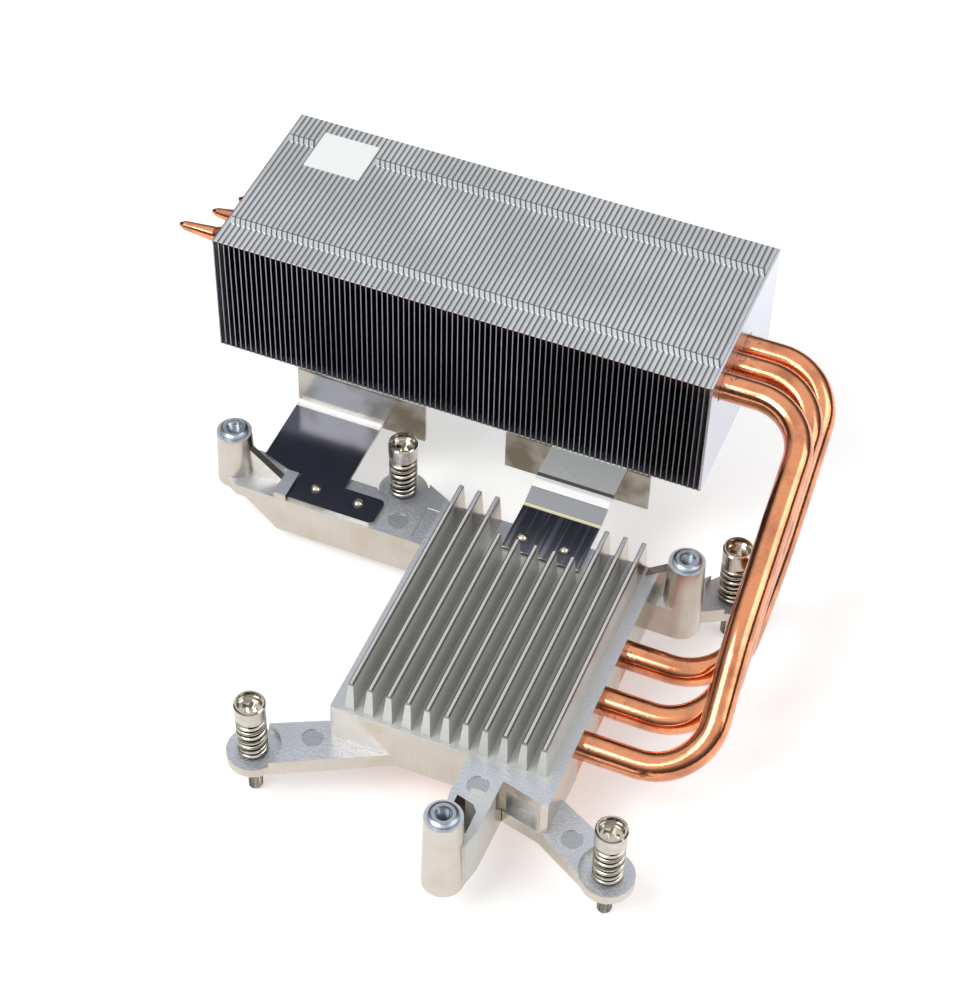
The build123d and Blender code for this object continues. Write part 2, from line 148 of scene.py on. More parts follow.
# Settings that a user may change
class FinBlockSettings(bpy.types.PropertyGroup):
    pitch: FloatProperty(
        name="Fin pitch", description="Distance from one fin to the next",
        default=1.225 * mm, unit="LENGTH")
    sheet: FloatProperty(
        name="Fin sheet", description="Thickness of one fin", default=0.2 * mm, unit="LENGTH")
    front_row: FloatProperty(
        name="Front tab row", description="Place of the front row of tabs from the block's front",
        default=8.2 * mm, unit="LENGTH")
    back_row: FloatProperty(
        name="Back tab row", description="Place of the back row of tabs from the block's front",
        default=37.6 * mm, unit="LENGTH")
    tab_length: FloatProperty(
        name="Tab length", description="Length of one folded tab", default=1.9 * mm, unit="LENGTH")
    tab_lean: FloatProperty(
        name="Tab lean", description="How far a tab leans over its neighbour",
        default=0.80 * mm, unit="LENGTH")
    tab_gap: FloatProperty(
        name="Tab gap", description="Dark gap beside a tab", default=0.36 * mm, unit="LENGTH")
    tab_height: FloatProperty(
        name="Tab height", description="How far a tab stands proud", default=0.11 * mm, unit="LENGTH")


class SpringSettings(bpy.types.PropertyGroup):
    wire: FloatProperty(
        name="Wire", description="Diameter of the spring wire", default=0.75 * mm, unit="LENGTH")
    travel: FloatProperty(
        name="Travel", description="How far a spring shortens", default=4.0 * mm, unit="LENGTH")
    turns: FloatProperty(
        name="Turns", description="Turns of one spring, its flat ends included", default=7.8,
        unit="NONE")


class ScrewSettings(bpy.types.PropertyGroup):
    shank: FloatProperty(
        name="Shank", description="Diameter of the smooth shank", default=3.6 * mm, unit="LENGTH")
    thread: FloatProperty(
        name="Thread", description="Diameter over the thread", default=3.0 * mm, unit="LENGTH")
    thread_length: FloatProperty(
        name="Thread length", description="Length of the threaded end", default=5.6 * mm, unit="LENGTH")
    pitch: FloatProperty(
        name="Thread pitch", description="Distance between thread turns",
        default=0.5 * mm, unit="LENGTH")
    thread_depth: FloatProperty(
        name="Thread depth", description="Depth of the thread's grooves",
        default=0.27 * mm, unit="LENGTH")
    groove: FloatProperty(
        name="Ring groove", description="Diameter of the groove that the ring sits in",
        default=2.6 * mm, unit="LENGTH")
    cup_wall: FloatProperty(
        name="Cup wall", description="Wall round the hollow head", default=0.7 * mm, unit="LENGTH")
    cup_depth: FloatProperty(
        name="Cup depth", description="Depth of the hollow head", default=1.8 * mm, unit="LENGTH")
    drive_length: FloatProperty(
        name="Cross length", description="Length across the cross recess",
        default=3.2 * mm, unit="LENGTH")
    drive_width: FloatProperty(
        name="Cross width", description="Width of one slot of the cross recess",
        default=1.0 * mm, unit="LENGTH")
    drive_depth: FloatProperty(
        name="Cross depth", description="Depth of the cross recess", default=1.2 * mm, unit="LENGTH")
    edge: FloatProperty(
        name="Edge", description="Rounding of the head's edges", default=0.3 * mm, unit="LENGTH")


class InsertSettings(bpy.types.PropertyGroup):
    body: FloatProperty(
        name="Body", description="Diameter of the insert inside the post",
        default=4.4 * mm, unit="LENGTH")
    flange: FloatProperty(
        name="Flange height", description="Height of the insert's collar",
        default=2.0 * mm, unit="LENGTH")
    step: FloatProperty(
        name="Collar step", description="Width of the step round the collar's top",
        default=0.45 * mm, unit="LENGTH")
    mouth: FloatProperty(
        name="Mouth", description="Diameter of the chamfer at the bore's mouth",
        default=3.4 * mm, unit="LENGTH")
    bore: FloatProperty(
        name="Bore", description="Diameter inside the thread", default=2.5 * mm, unit="LENGTH")
    edge: FloatProperty(
        name="Edge", description="Rounding of the collar's edge", default=0.2 * mm, unit="LENGTH")


class FinishSettings(bpy.types.PropertyGroup):
    casting: FloatVectorProperty(
        name="Casting", description="Colour of the die casting", subtype="COLOR",
        default=(0.64, 0.59, 0.52))
    # Colour of the level faces, partly their own grained tone and partly a painted reflection of the sky
    casting_top_tone_and_reflection: FloatVectorProperty(
        name="Casting tops", description="Colour of the casting's level faces", subtype="COLOR",
        default=(0.60, 0.63, 0.68))
    fins: FloatVectorProperty(
        name="Fins", description="Colour of the fin sheet", subtype="COLOR", default=(0.90, 0.92, 0.93))
    copper: FloatVectorProperty(
        name="Copper", description="Colour of clean copper", subtype="COLOR", default=(0.84, 0.33, 0.16))
    oxide: FloatVectorProperty(
        name="Oxide", description="Colour of tarnished copper", subtype="COLOR",
        default=(0.36, 0.13, 0.06))
    bracket: FloatVectorProperty(
        name="Brackets", description="Colour of the bright bracket sheet", subtype="COLOR",
        default=(0.52, 0.50, 0.45))
    nickel: FloatVectorProperty(
        name="Nickel", description="Colour of screws and springs", subtype="COLOR",
        default=(0.66, 0.62, 0.54))
    zinc: FloatVectorProperty(
        name="Zinc", description="Colour of the threaded inserts", subtype="COLOR",
        default=(0.46, 0.51, 0.58))
    label: FloatVectorProperty(
        name="Label", description="Colour of the blank label", subtype="COLOR",
        default=(0.84, 0.85, 0.85))


class StageSettings(bpy.types.PropertyGroup):
    place: FloatVectorProperty(
        name="Camera place", description="Where the camera stands",
        default=(0.10918, -0.29544, 0.40985), unit="LENGTH")
    azimuth: FloatProperty(
        name="Azimuth", description="Direction of the view round the object",
        default=math.radians(21.923), unit="ROTATION")
    elevation: FloatProperty(
        name="Elevation", description="How far the camera looks down",
        default=math.radians(47.946), unit="ROTATION")
    roll: FloatProperty(
        name="Roll", description="Tilt of the picture", default=math.radians(0.936), unit="ROTATION")
    lens: FloatProperty(
        name="Lens", description="Focal length in millimetres on a 36 mm sensor", default=90.47,
        unit="CAMERA")
    shift_x: FloatProperty(
        name="Shift across", description="Sideways shift of the picture", default=0.0256, unit="NONE")
    shift_y: FloatProperty(
        name="Shift up", description="Upward shift of the picture", default=-0.0197, unit="NONE")
    floor: FloatVectorProperty(
        name="Floor", description="Colour of the floor", subtype="COLOR", default=(0.86, 0.86, 0.86))
    sky: FloatProperty(
        name="Sky", description="Strength of the light all round", default=0.58, subtype="FACTOR")
    horizon: FloatProperty(
        name="Horizon", description="Strength of the darker room that metal reflects at eye level",
        default=0.10, subtype="FACTOR")
    lamp_size: FloatProperty(
        name="Lamp size", description="Width of each lamp", default=0.5, unit="LENGTH")
    key_place: FloatVectorProperty(
        name="Key place", description="Where the main lamp stands", default=(-0.35, -0.45, 0.75),
        unit="LENGTH")
    fill_place: FloatVectorProperty(
        name="Fill place", description="Where the weaker lamp stands", default=(0.6, 0.1, 0.5),
        unit="LENGTH")
    key: FloatProperty(
        name="Key lamp", description="Power of the main lamp in watts", default=4.6, unit="POWER")
    fill: FloatProperty(
        name="Fill lamp", description="Power of the weaker lamp in watts", default=1.6, unit="POWER")


class HeatsinkSettings(bpy.types.PropertyGroup):
    fin_block: PointerProperty(type=FinBlockSettings)
    spring: PointerProperty(type=SpringSettings)
    screw: PointerProperty(type=ScrewSettings)
    insert: PointerProperty(type=InsertSettings)
    finish: PointerProperty(type=FinishSettings)
    stage: PointerProperty(type=StageSettings)


def settings():
    """The settings in the sidebar."""
    return bpy.context.scene.heatsink


# Shader maths
class Wire:
    """One output of a shader node, for use in expressions."""

    def __init__(self, finish, socket):
        self.finish = finish
        self.socket = socket

    def math(self, operation, first, second):
        return self.finish.node("ShaderNodeMath", {"operation": operation}, {0: first, 1: second})

    def __add__(self, other):
        return self.math("ADD", self, other)

    def __radd__(self, other):
        return self.math("ADD", other, self)

    def __sub__(self, other):
        return self.math("SUBTRACT", self, other)

    def __rsub__(self, other):
        return self.math("SUBTRACT", other, self)

    def __mul__(self, other):
        return self.math("MULTIPLY", self, other)

    def __rmul__(self, other):
        return self.math("MULTIPLY", other, self)


class Nodes:
    """A node tree that grows by expressions."""

    def __init__(self, tree):
        self.tree = tree

    def node(self, kind, chosen=None, values=None, output=0):
        """A new node: its kind, its settings and then its sockets."""
        made = self.tree.nodes.new(kind)
        for name, value in (chosen or {}).items():
            if name == "stops":
                self.set_stops(made.color_ramp, value)
            else:
                setattr(made, name, value)
        for name, value in (values or {}).items():
            self.feed(made.inputs[name], value)
        return Wire(self, made.outputs[output])

    def set_stops(self, ramp, stops):
        while len(ramp.elements) < len(stops):
            ramp.elements.new(0.5)
        for element, (place, level) in zip(ramp.elements, stops):
            element.position = place
            element.color = (level, level, level, 1.0)

    def feed(self, socket, value):
        if isinstance(value, Wire):
            self.tree.links.new(value.socket, socket)
        else:
            socket.default_value = value

    def axis(self, vector, name):
        return self.node("ShaderNodeSeparateXYZ", values={0: vector}, output=name)

    def smallest(self, first, second):
        return self.node("ShaderNodeMath", {"operation": "MINIMUM"}, {0: first, 1: second})

    def largest(self, first, second):
        return self.node("ShaderNodeMath", {"operation": "MAXIMUM"}, {0: first, 1: second})

    def ramp(self, value, *stops):
        """Value passed through stops of (place, level)."""
        return self.node("ShaderNodeValToRGB", {"stops": stops}, {"Fac": value})


class Finish(Nodes):
    """A material and the nodes that give it its look."""

    def __init__(self, name, **constants):
        self.material = bpy.data.materials.new(name)
        self.material.use_nodes = True
        super().__init__(self.material.node_tree)
        self.shader = self.tree.nodes["Principled BSDF"]
        for socket, value in constants.items():
            self.shader.inputs[socket.replace("_", " ")].default_value = value

    def set(self, name, value):
        self.feed(self.shader.inputs[name], value)

    def place(self):
        return self.node("ShaderNodeTexCoord", output="Object")

    def stretched(self, x, y, z):
        return self.node("ShaderNodeVectorMath", {"operation": "MULTIPLY"}, {0: self.place(), 1: (x, y, z)})

    def facing(self, name):
        normal = self.node("ShaderNodeNewGeometry", output="True Normal")
        return self.axis(normal, name)

    def noise(self, size, detail=2.0, vector=None):
        """Soft noise whose lumps are about size metres across."""
        values = {"Vector": vector or self.place(), "Scale": 1.0 / size, "Detail": detail}
        return self.node("ShaderNodeTexNoise", values=values, output="Fac")

    def mix(self, share, first, second):
        """Colour between two others."""
        return self.node("ShaderNodeMix", {"data_type": "RGBA"},
                         {"Factor": share, 6: opaque(first), 7: opaque(second)}, output=2)

    def bump(self, height, distance, strength):
        values = {"Height": height, "Distance": distance, "Strength": strength}
        self.set("Normal", self.node("ShaderNodeBump", values=values))


def opaque(colour):
    """Colour with an alpha of 1, or a wire as it is."""
    if isinstance(colour, Wire):
        return colour
    return (*colour, 1.0)


def dimmed(colour, share):
    """Darker copy of a colour."""
    return tuple(share * channel for channel in colour)


# Finishes
def inside_box(finish, low, high):
    """One well inside a box of object coordinates, and nothing outside it."""
    place = finish.place()
    depth = 1.0
    for name, first, last in zip("XYZ", low, high):
        share = (finish.axis(place, name) - (first + last) / 2) * (2 / (last - first))
        depth = finish.smallest(depth, 1.0 - share * share)
    sharpness = 8.0
    return finish.ramp(depth * sharpness, (0.0, 0.0), (1.0, 1.0))


def ejector_mark(finish, place):
    """One inside a round mark, and nothing outside it."""
    x, y = place
    across = finish.axis(finish.place(), "X") * (1 / mark_radius) - x * mm / mark_radius
    along = finish.axis(finish.place(), "Y") * (1 / mark_radius) - y * mm / mark_radius
    return finish.ramp(1.0 - across * across - along * along, (0.0, 0.0), (0.08, 1.0))


def cast_aluminium():
    """Warm drafted walls, grained tops whose blue-grey is partly a painted reflection, a duller, less
    metallic colour between the fins that is painted lighter to lift their shade, and painted shade on the
    sides of the fin tips.
    """
    look = settings().finish
    finish = Finish("cast_aluminium")
    up = finish.ramp(finish.facing("Z"), (0.75, 0.0), (0.95, 1.0))
    cloud = finish.noise(9 * mm, 3.0)
    blotch = finish.ramp(finish.noise(5 * mm, 4.0), (0.48, 0.0), (0.66, 1.0))
    grain = finish.noise(0.32 * mm, 2.0)
    speck = finish.ramp(finish.noise(0.55 * mm, 3.0), (0.42, 0.0), (0.62, 1.0))
    streak = finish.noise(1.0, 2.0, finish.stretched(1 / (0.5 * mm), 1 / (0.5 * mm), 1 / (9 * mm)))
    wall = finish.mix(cloud * 0.7, look.casting, dimmed(look.casting, 0.74))
    wall = finish.mix(blotch * 0.4, wall, wall_stain)
    wall = finish.mix(streak * 0.25, wall, dimmed(look.casting, 0.6))
    level = finish.mix(speck * 0.55, look.casting_top_tone_and_reflection, top_sparkle)
    level = finish.mix(grain * 0.35, level, dimmed(look.casting_top_tone_and_reflection, 0.45))
    marks = ejector_mark(finish, ejector_marks[0])
    for place in ejector_marks[1:]:
        marks = finish.largest(marks, ejector_mark(finish, place))
    level = finish.mix(marks * 0.75, level, dimmed(look.casting_top_tone_and_reflection, 0.62))
    # Painted light: between the fins and in the post pocket a lighter, less metallic colour lifts the shade
    # that falls there
    gap = finish.largest(inside_box(finish, cast_fins_low, cast_fins_high),
                         inside_box(finish, post_pocket_low, post_pocket_high))
    tip = inside_box(finish, fin_tips_low, fin_tips_high)
    flat = finish.ramp(finish.facing("Z"), (0.95, 0.0), (0.99, 1.0))
    gap_painted_light = finish.mix(cloud, gap_light, gap_dull)
    gap_painted_light = finish.mix(grain * 0.4, gap_painted_light, gap_grain)
    # Level faces take their own blue-grey: partly the grained tone, partly a painted reflection of the sky
    colour = finish.mix(up, wall, level)
    colour = finish.mix(gap, colour, gap_painted_light)
    # Painted shade: the sides of the fin tips are darkened
    colour = finish.mix(tip * (1.0 - flat), colour, tip_side_shade)
    finish.set("Base Color", finish.mix(tip * flat, colour, tip_top))
    finish.set("Metallic", 1.0 - gap * 0.6)
    finish.set("Roughness", 0.20 + cloud * 0.08 + up * (1.0 - tip) * 0.22 + gap * 0.12)
    finish.bump((grain * 1.4 + speck * 0.6) * up * (1.0 - tip) + streak * 0.3, 0.06 * mm, 0.6)
    return finish.material


def fin_aluminium():
    """Sheet with a dark line between neighbouring fins on the folded top and bottom, painted shade inside
    the block and painted highlights in dashes along the front rims.
    """
    look = settings().finish
    block = settings().fin_block
    low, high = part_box("cooling_fins")
    finish = Finish("fin_aluminium", Metallic=1.0)
    along = finish.noise(1.0, 3.0, finish.stretched(1 / (0.4 * mm), 1 / (16 * mm), 1 / (5 * mm)))
    cloud = finish.ramp(finish.noise(22 * mm, 3.0), (0.38, 0.0), (0.62, 1.0))
    tint = finish.noise(9 * mm, 2.0)
    speck = finish.noise(0.5 * mm, 2.0)
    level = finish.ramp(finish.facing("Z"), (0.75, 0.0), (0.95, 1.0))
    edge = finish.ramp(finish.facing("Y") * -1.0, (0.80, 0.0), (0.95, 1.0))
    across = finish.axis(finish.place(), "X") * (1 / block.pitch) - low.x / block.pitch
    share = finish.node("ShaderNodeMath", {"operation": "FRACT"}, {0: across})
    seam = finish.ramp(share, (0.0, 1.0), (0.09, 0.9), (0.28, 0.30),
                       (0.48, 0.0), (0.82, 0.05), (0.96, 1.0))
    shade = finish.mix(along * 0.4, look.fins, dimmed(look.fins, 0.66))
    shade = finish.mix(cloud * 0.5, shade, dimmed(look.fins, 0.62))
    shade = finish.mix(tint * 0.35, shade, fin_sheen)
    around = 1 * mm
    inside = inside_box(finish, (low.x + block.pitch / 2, low.y - around, low.z + block.sheet),
                        (high.x - block.pitch / 2, high.y + around, high.z - block.sheet))
    # Painted shade: the fins inside the block are darkened where the narrow gaps shade them
    shade = finish.mix(inside, shade, fin_inside_shade)
    shade = finish.mix(edge, shade, finish.mix(speck, fin_edge_dull, fin_edge_light))
    rim_width = 1.3 * block.sheet
    core = inside_box(finish, (low.x - around, low.y - around, low.z + rim_width),
                      (high.x + around, high.y + around, high.z - rim_width))
    rim = edge * (1.0 - core)
    # Painted highlight: light dashes along the front rims of the folded top and bottom, dark at the seams
    # between fins
    shade = finish.mix(rim, shade, finish.mix(seam, rim_painted_highlight, rim_dark))
    finish.set("Metallic", 1.0 - rim * 0.8)
    finish.set("Base Color", finish.mix(seam * level, shade, seam_dark))
    finish.set("Roughness", 0.26 + along * 0.16 + speck * 0.06 + seam * level * 0.2)
    finish.bump(speck * 0.4 + along - seam * level * 2.0, 0.03 * mm, 0.5)
    return finish.material


def tab_sheet():
    """Bare sheet of the folded tabs."""
    look = settings().finish
    finish = Finish("tab_sheet", Metallic=1.0)
    cloud = finish.noise(3 * mm, 3.0)
    finish.set("Base Color", finish.mix(cloud * 0.5, look.fins, dimmed(look.fins, 0.7)))
    finish.set("Roughness", 0.26 + cloud * 0.14)
    finish.bump(cloud, 0.02 * mm, 0.4)
    return finish.material


def painted_tab_shade():
    """Painted shade: a dark film on the sheet between the folded tabs."""
    finish = Finish("painted_tab_shade", Metallic=1.0)
    speck = finish.noise(0.4 * mm, 2.0)
    finish.set("Base Color", finish.mix(speck, tab_shadow, tab_shadow_light))
    finish.set("Roughness", 0.4 + speck * 0.2)
    return finish.material


def end_sheet():
    """Bluish bright sheet of the flat end fin."""
    finish = Finish("end_sheet", Metallic=1.0)
    cloud = finish.noise(12 * mm, 2.0)
    lines = finish.noise(1.0, 2.0, finish.stretched(1.0, 1 / (12 * mm), 1 / (0.2 * mm)))
    finish.set("Base Color", finish.mix(cloud * 0.5, end_light, end_dull))
    finish.set("Roughness", 0.22 + lines * 0.14)
    finish.bump(lines, 0.01 * mm, 0.4)
    return finish.material


def bright_copper():
    """Polished copper with tarnish, and solder specks near the fin block."""
    look = settings().finish
    finish = Finish("bright_copper", Metallic=1.0, Coat_Weight=0.5, Coat_Roughness=0.06)
    cloud = finish.noise(7 * mm, 4.0)
    fine = finish.noise(0.6 * mm, 3.0)
    scratch = finish.noise(1.0, 3.0, finish.stretched(1 / (6 * mm), 1 / (0.5 * mm), 1 / (0.5 * mm)))
    tarnish = finish.ramp(cloud, (0.46, 0.0), (0.66, 0.7))
    solder = finish.ramp(finish.noise(1.3 * mm, 2.0), (0.60, 0.0), (0.66, 0.9))
    bend_reach = 40 * mm
    along = finish.axis(finish.place(), "X") * (1 / bend_reach)
    near_block = finish.ramp(along, (0.56, 0.0), (0.59, 1.0), (0.69, 1.0), (0.74, 0.0))
    colour = finish.mix(tarnish, look.copper, look.oxide)
    colour = finish.mix(scratch * 0.22, colour, dimmed(look.oxide, 0.9))
    colour = finish.mix(solder * near_block, colour, solder_speck)
    finish.set("Base Color", colour)
    finish.set("Roughness", 0.07 + cloud * 0.10 + fine * 0.06)
    finish.bump(fine * 0.5 + cloud * 2.0, 0.05 * mm, 0.6)
    return finish.material


def milled_copper():
    """Copper plate with the lines of the cutter."""
    look = settings().finish
    finish = Finish("milled_copper", Metallic=1.0)
    lines = finish.noise(1.0, 2.0, finish.stretched(1 / (9 * mm), 1 / (0.25 * mm), 1 / (0.25 * mm)))
    cloud = finish.noise(6 * mm, 3.0)
    finish.set("Base Color", finish.mix(cloud * 0.6, look.copper, look.oxide))
    finish.set("Roughness", 0.22 + lines * 0.2)
    finish.bump(lines, 0.02 * mm, 0.5)
    return finish.material


def bright_sheet():
    """Plated sheet: a painted dark reflection where it lies flat, painted highlights, shade and reflections
    in bands across the bends, and warm where it stands.
    """
    look = settings().finish
    finish = Finish("bright_sheet", Metallic=1.0)
    lines = finish.noise(1.0, 3.0, finish.stretched(1 / (0.15 * mm), 1 / (10 * mm), 1 / (10 * mm)))
    stripes = finish.noise(1.0, 1.0, finish.stretched(1 / (0.7 * mm), 1 / (30 * mm), 1 / (30 * mm)))
    cloud = finish.noise(9 * mm, 3.0)
    speck = finish.noise(0.5 * mm, 2.0)
    up = finish.ramp(finish.facing("Z"), (0.80, 0.0), (0.98, 1.0))
    patch = finish.ramp(cloud, (0.40, 0.0), (0.60, 1.0))
    # Darker olive patches at random on the standing sheet
    upright = finish.mix(patch, look.bracket, bracket_dark_patch)
    # Painted reflection: the flat sheet is dark where it mirrors the fin block, with a lighter painted
    # sheen in clouds
    level = finish.mix(cloud * 0.5, bracket_painted_reflection, bracket_painted_sheen)
    # Painted reflection: stripes of the fins mirrored in the right bracket's tongue
    fin_reflection_area = inside_box(finish, right_tongue_low, right_tongue_high)
    streak = finish.ramp(stripes, (0.50, 0.0), (0.60, 0.7))
    level = finish.mix(streak * fin_reflection_area, level, bracket_fin_reflection)
    full_height = 40
    height = finish.axis(finish.place(), "Z") * (1 / (full_height * mm))
    plate = finish.ramp(height, (plate_level / full_height, 0.0), (plate_level / full_height + 0.01, 1.0))
    # Painted reflection: a speckled light grey on the level sheet above plate_level
    grey = finish.mix(speck, plate_reflection_dull, plate_reflection_light)
    colour = finish.mix(up, upright, finish.mix(plate, level, grey))
    # Painted highlights, painted shade and a painted reflection in bands across the right bracket's bends
    left, right = bracket_x
    bands = ((crease_band, crease_glow), (slope_band, slope_reflection), (bend_band, bend_highlight),
             (shadow_band, bend_shadow))
    for (start, end), tint in bands:
        low = Vector((left, start, 0.0)) * mm
        high = Vector((right, end, full_height)) * mm
        band = inside_box(finish, low, high)
        colour = finish.mix(band, colour, tint)
        plate = finish.largest(plate, band)
    # Painted highlight along the left bracket's crease
    crease = inside_box(finish, left_crease_low, left_crease_high)
    plate = finish.largest(plate * up, crease)
    finish.set("Base Color", finish.mix(crease, colour, bend_highlight))
    finish.set("Metallic", 1.0 - plate * 0.6)
    finish.set("Roughness", 0.15 + lines * 0.02 + speck * 0.06 + plate * 0.35)
    finish.bump(lines * 0.04 + cloud * 0.8 + speck * 0.15, 0.02 * mm, 0.3)
    return finish.material


def nickel(name, roughness, dark_from=0.0, dark_to=0.0):
    """Plating, with painted shade on the shank between two heights."""
    look = settings().finish
    finish = Finish(name, Metallic=1.0)
    cloud = finish.noise(1.6 * mm, 3.0)
    colour = finish.mix(cloud * 0.8, look.nickel, dimmed(look.nickel, 0.5))
    if dark_to > dark_from:
        # Painted shade: the shank inside the spring is darkened
        shank = inside_box(finish, (-1.0, -1.0, dark_from), (1.0, 1.0, dark_to))
        colour = finish.mix(shank, colour, dimmed(look.nickel, 0.14))
    finish.set("Base Color", colour)
    finish.set("Roughness", roughness + cloud * 0.12)
    finish.bump(cloud, 0.02 * mm, 0.5)
    return finish.material


def zinc():
    """Blue-grey plating of the inserts."""
    look = settings().finish
    finish = Finish("zinc", Metallic=1.0)
    cloud = finish.noise(1.2 * mm, 3.0)
    finish.set("Base Color", finish.mix(cloud * 0.8, look.zinc, dimmed(look.zinc, 0.5)))
    finish.set("Roughness", 0.24 + cloud * 0.16)
    finish.bump(cloud, 0.02 * mm, 0.5)
    return finish.material


def paper():
    """Matt white label."""
    look = settings().finish
    finish = Finish("paper", Metallic=0.0)
    fibre = finish.noise(0.4 * mm, 3.0)
    finish.set("Base Color", finish.mix(fibre * 0.2, look.label, dimmed(look.label, 0.88)))
    finish.set("Roughness", 0.55 + fibre * 0.1)
    finish.bump(fibre, 0.01 * mm, 0.4)
    return finish.material


def dress(node, material):
    """Gives a CAD node its material."""
    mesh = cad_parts[node].data
    mesh.materials.clear()
    mesh.materials.append(material)


def soften(node, width):
    """Rounds the edges of a CAD node a little."""
    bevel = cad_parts[node].modifiers.new("soft_edges", "BEVEL")
    bevel.width = width
    bevel.segments = 2
    bevel.limit_method = "ANGLE"
    bevel.angle_limit = crease_angle
    bevel.harden_normals = True


# Mesh helpers
def piece(name, build, material, body=root_body):
    """Makes an object from a bmesh that build fills, and lets it ride on a body."""
    shape = bmesh.new()
    build(shape)
    bmesh.ops.recalc_face_normals(shape, faces=shape.faces)
    mesh = bpy.data.meshes.new(name)
    shape.to_mesh(mesh)
    shape.free()
    mesh.shade_smooth()
    mesh.set_sharp_from_angle(angle=smooth_angle)
    mesh.materials.append(material)
    made = bpy.data.objects.new(name, mesh)
    bpy.context.scene.collection.objects.link(made)
    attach(made, body)
    return made


def ring_of(shape, centre, radius, height, count):
    """A level ring of vertices. radius may be a function of the angle."""
    ring = []
    for index in range(count):
        angle = 2 * math.pi * index / count
        reach = radius(angle) if callable(radius) else radius
        x = centre[0] + reach * math.cos(angle)
        y = centre[1] + reach * math.sin(angle)
        ring.append(shape.verts.new((x, y, height)))
    return ring


def bridge(shape, lower, upper):
    """Faces between two rings of as many vertices."""
    count = len(lower)
    for index in range(count):
        after = (index + 1) % count
        shape.faces.new((lower[index], lower[after], upper[after], upper[index]))


def turned(shape, centre, levels, count=48):
    """Round surface through levels of (radius, height)."""
    rings = [ring_of(shape, centre, radius, height, count) for radius, height in levels]
    for lower, upper in zip(rings, rings[1:]):
        bridge(shape, lower, upper)
    return rings


def thread_reach(radius, depth, turn):
    """Radius round a thread at one height, which falls by depth at the bottom of its groove."""
    def reach(angle):
        share = (turn - angle / (2 * math.pi)) % 1.0
        return radius - depth * (1 - abs(2 * share - 1))
    return reach


def thread_levels(radius, depth, pitch, low, high):
    """Levels of a right-handed thread."""
    rows_per_turn = 6
    rows = round(rows_per_turn * (high - low) / pitch)
    heights = [low + (high - low) * row / rows for row in range(rows + 1)]
    return [(thread_reach(radius, depth, height / pitch), height) for height in heights]


def tube_along(shape, points, radius, count):
    """Round tube round a line of points, closed at both ends."""
    rings = []
    side = None
    for index, point in enumerate(points):
        before = points[max(index - 1, 0)]
        after = points[min(index + 1, len(points) - 1)]
        forward = (after - before).normalized()
        if side is None:
            side = forward.orthogonal().normalized()
        side = (side - forward * side.dot(forward)).normalized()
        up = forward.cross(side)
        ring = []
        for step in range(count):
            angle = 2 * math.pi * step / count
            ring.append(shape.verts.new(point + radius * (math.cos(angle) * side + math.sin(angle) * up)))
        rings.append(ring)
    for lower, upper in zip(rings, rings[1:]):
        bridge(shape, lower, upper)
    shape.faces.new(reversed(rings[0]))
    shape.faces.new(rings[-1])


def slab_into(shape, left, width, front, back, shift, bottom, top):
    """Flat slab whose back edge is shifted sideways."""
    outline = ((left, front), (left + width, front), (left + width + shift, back), (left + shift, back))
    rings = [[shape.verts.new((x, y, height)) for x, y in outline] for height in (bottom, top)]
    bridge(shape, *rings)
    for ring in rings:
        shape.faces.new(ring)


def middle_of(node):
    """Middle of a CAD node's box."""
    low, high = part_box(node)
    return (low + high) / 2


class HEATSINK_OT_base(bpy.types.Operator):
    """Die casting and copper plate"""
    bl_idname = "heatsink.base"
    bl_label = "Base"

    def execute(self, context):
        dress("base_casting", cast_aluminium())
        soften("base_casting", casting_edge)
        dress("cold_plate", milled_copper())
        return {"FINISHED"}


class HEATSINK_OT_heat_pipes(bpy.types.Operator):
    """Copper pipes"""
    bl_idname = "heatsink.heat_pipes"
    bl_label = "Heat pipes"

    def execute(self, context):
        copper = bright_copper()
        for row in pipe_rows:
            dress("heat_pipe_" + row, copper)
        return {"FINISHED"}


class HEATSINK_OT_fin_block(bpy.types.Operator):
    """Sheet fins with their rows of folded tabs"""
    bl_idname = "heatsink.fin_block"
    bl_label = "Fin block"

    def execute(self, context):
        dress("cooling_fins", fin_aluminium())
        dress("end_plate", end_sheet())
        piece("fin_tabs", self.tabs, tab_sheet())
        piece("fin_tab_shade_film", self.shade_film, painted_tab_shade())
        return {"FINISHED"}

    def rows(self):
        """Back line of each row of tabs, with the places of its tabs that the label leaves open."""
        block = settings().fin_block
        low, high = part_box("cooling_fins")
        label_low, label_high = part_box("label")
        count = round((high.x - low.x) / block.pitch)
        places = [low.x + index * block.pitch for index in range(1, count)]
        open_places = [x for x in places
                       if x + block.pitch < label_low.x or x - block.tab_lean > label_high.x]
        for row in (block.front_row, block.back_row):
            line = low.y + row
            under_label = line > label_low.y and line - block.tab_length < label_high.y
            yield line, open_places if under_label else places

    def tabs(self, shape):
        """Folded tabs, each leaning over its neighbour."""
        block = settings().fin_block
        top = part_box("cooling_fins")[1].z
        for line, places in self.rows():
            for x in places:
                slab_into(shape, x, block.pitch - block.tab_gap, line - block.tab_length, line,
                          -block.tab_lean, top - block.sheet, top + block.tab_height)

    def shade_film(self, shape):
        """Painted shade: a dark film strip under each tab and along the back of its row."""
        block = settings().fin_block
        film = 0.02 * mm
        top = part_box("cooling_fins")[1].z
        for line, places in self.rows():
            for x in places:
                slab_into(shape, x, block.pitch, line - block.tab_length, line + block.tab_gap,
                          -block.tab_lean, top - block.sheet, top + film)


